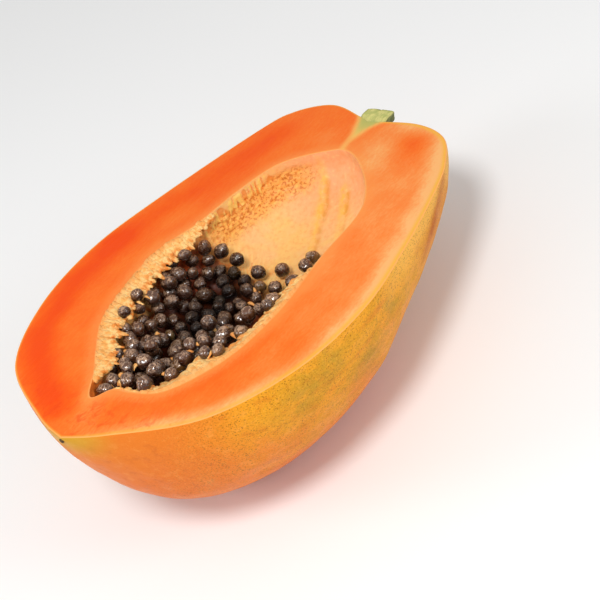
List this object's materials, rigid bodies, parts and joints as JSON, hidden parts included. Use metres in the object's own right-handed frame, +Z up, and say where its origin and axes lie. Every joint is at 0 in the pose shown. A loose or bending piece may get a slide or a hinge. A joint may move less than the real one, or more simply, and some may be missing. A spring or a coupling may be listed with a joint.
{
  "type": "papaya half",
  "caption": "Ripe papaya cut lengthwise: one half with orange flesh, speckled yellow-orange skin, dark seeds in its hollow and a short cut stalk.",
  "frame": {"origin": "on the table, under the middle of the whole half's bounding box", "axes": "+X from the blossom tip to the stalk, +Y to the left of that and +Z up, out of the cut face; the cut face leans 8.5 degrees down towards the stalk, as the half balances"},
  "size_m": [0.2274, 0.1546, 0.0929],
  "materials": {
    "papaya_flesh": "satin",
    "green_stalk": "matte",
    "wet_seed": "gloss"
  },
  "bodies": {
    "root": {"papaya_half": "papaya_flesh", "stem_stub": "green_stalk", "seed_01": "wet_seed", "seed_02": "wet_seed", "seed_03": "wet_seed", "seed_04": "wet_seed", "seed_05": "wet_seed", "seed_06": "wet_seed", "seed_07": "wet_seed", "seed_08": "wet_seed", "seed_09": "wet_seed", "seed_10": "wet_seed", "seed_11": "wet_seed", "seed_12": "wet_seed", "seed_13": "wet_seed", "seed_14": "wet_seed", "seed_15": "wet_seed", "seed_16": "wet_seed", "seed_17": "wet_seed", "seed_18": "wet_seed", "seed_19": "wet_seed", "seed_20": "wet_seed", "seed_21": "wet_seed", "seed_22": "wet_seed", "seed_23": "wet_seed", "seed_24": "wet_seed", "seed_25": "wet_seed", "seed_26": "wet_seed", "seed_27": "wet_seed", "seed_28": "wet_seed", "seed_29": "wet_seed", "seed_30": "wet_seed", "seed_31": "wet_seed", "seed_32": "wet_seed", "seed_33": "wet_seed", "seed_34": "wet_seed", "seed_35": "wet_seed", "seed_36": "wet_seed", "seed_37": "wet_seed", "seed_38": "wet_seed", "seed_39": "wet_seed", "seed_40": "wet_seed", "seed_41": "wet_seed", "seed_42": "wet_seed", "seed_43": "wet_seed", "seed_44": "wet_seed", "seed_45": "wet_seed", "seed_46": "wet_seed", "seed_47": "wet_seed", "seed_48": "wet_seed", "seed_49": "wet_seed", "seed_50": "wet_seed", "seed_51": "wet_seed", "seed_52": "wet_seed", "seed_53": "wet_seed", "seed_54": "wet_seed", "seed_55": "wet_seed", "seed_56": "wet_seed", "seed_57": "wet_seed", "inner_seeds": "wet_seed"}
  },
  "joints": []
}
